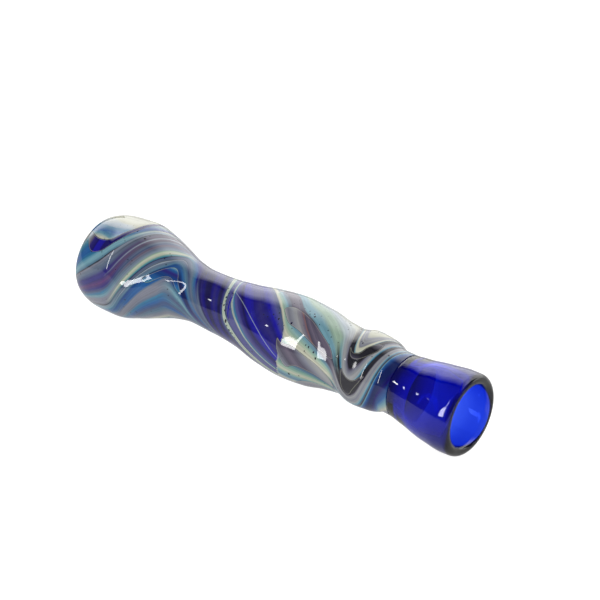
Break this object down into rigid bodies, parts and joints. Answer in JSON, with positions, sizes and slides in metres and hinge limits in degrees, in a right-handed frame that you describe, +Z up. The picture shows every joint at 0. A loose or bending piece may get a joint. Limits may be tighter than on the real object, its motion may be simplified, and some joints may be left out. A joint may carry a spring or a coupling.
{
  "type": "straight glass hand pipe",
  "caption": "Hand-blown straight glass pipe with a twisted, striped bulbous body, a flared cobalt mouthpiece and a bowl in the bulb's end.",
  "frame": {"origin": "on the surface the pipe lies on, under the middle of its length", "axes": "+X along the pipe towards the mouthpiece, +Z up, +Y across"},
  "size_m": [0.1228, 0.0281, 0.0263],
  "materials": {
    "mouthpiece_glass": "clear gloss",
    "cobalt_glass": "clear gloss",
    "pearl_glass": "opal gloss",
    "silver_glass": "fumed gloss",
    "smoke_glass": "fumed gloss",
    "charcoal_glass": "opaque gloss"
  },
  "bodies": {
    "root": {"core_tube": "cobalt_glass", "flared_mouthpiece": "mouthpiece_glass", "push_bowl": "cobalt_glass", "pearl_cane": "pearl_glass", "cobalt_cane_1": "cobalt_glass", "silver_cane_1": "silver_glass", "smoke_cane_1": "smoke_glass", "cobalt_cane_2": "cobalt_glass", "silver_cane_2": "silver_glass", "smoke_cane_2": "smoke_glass", "silver_cane_3": "silver_glass", "smoke_cane_3": "smoke_glass", "cobalt_cane_3": "cobalt_glass", "silver_cane_4": "silver_glass", "charcoal_cane": "charcoal_glass", "smoke_cane_4": "smoke_glass"}
  },
  "joints": []
}
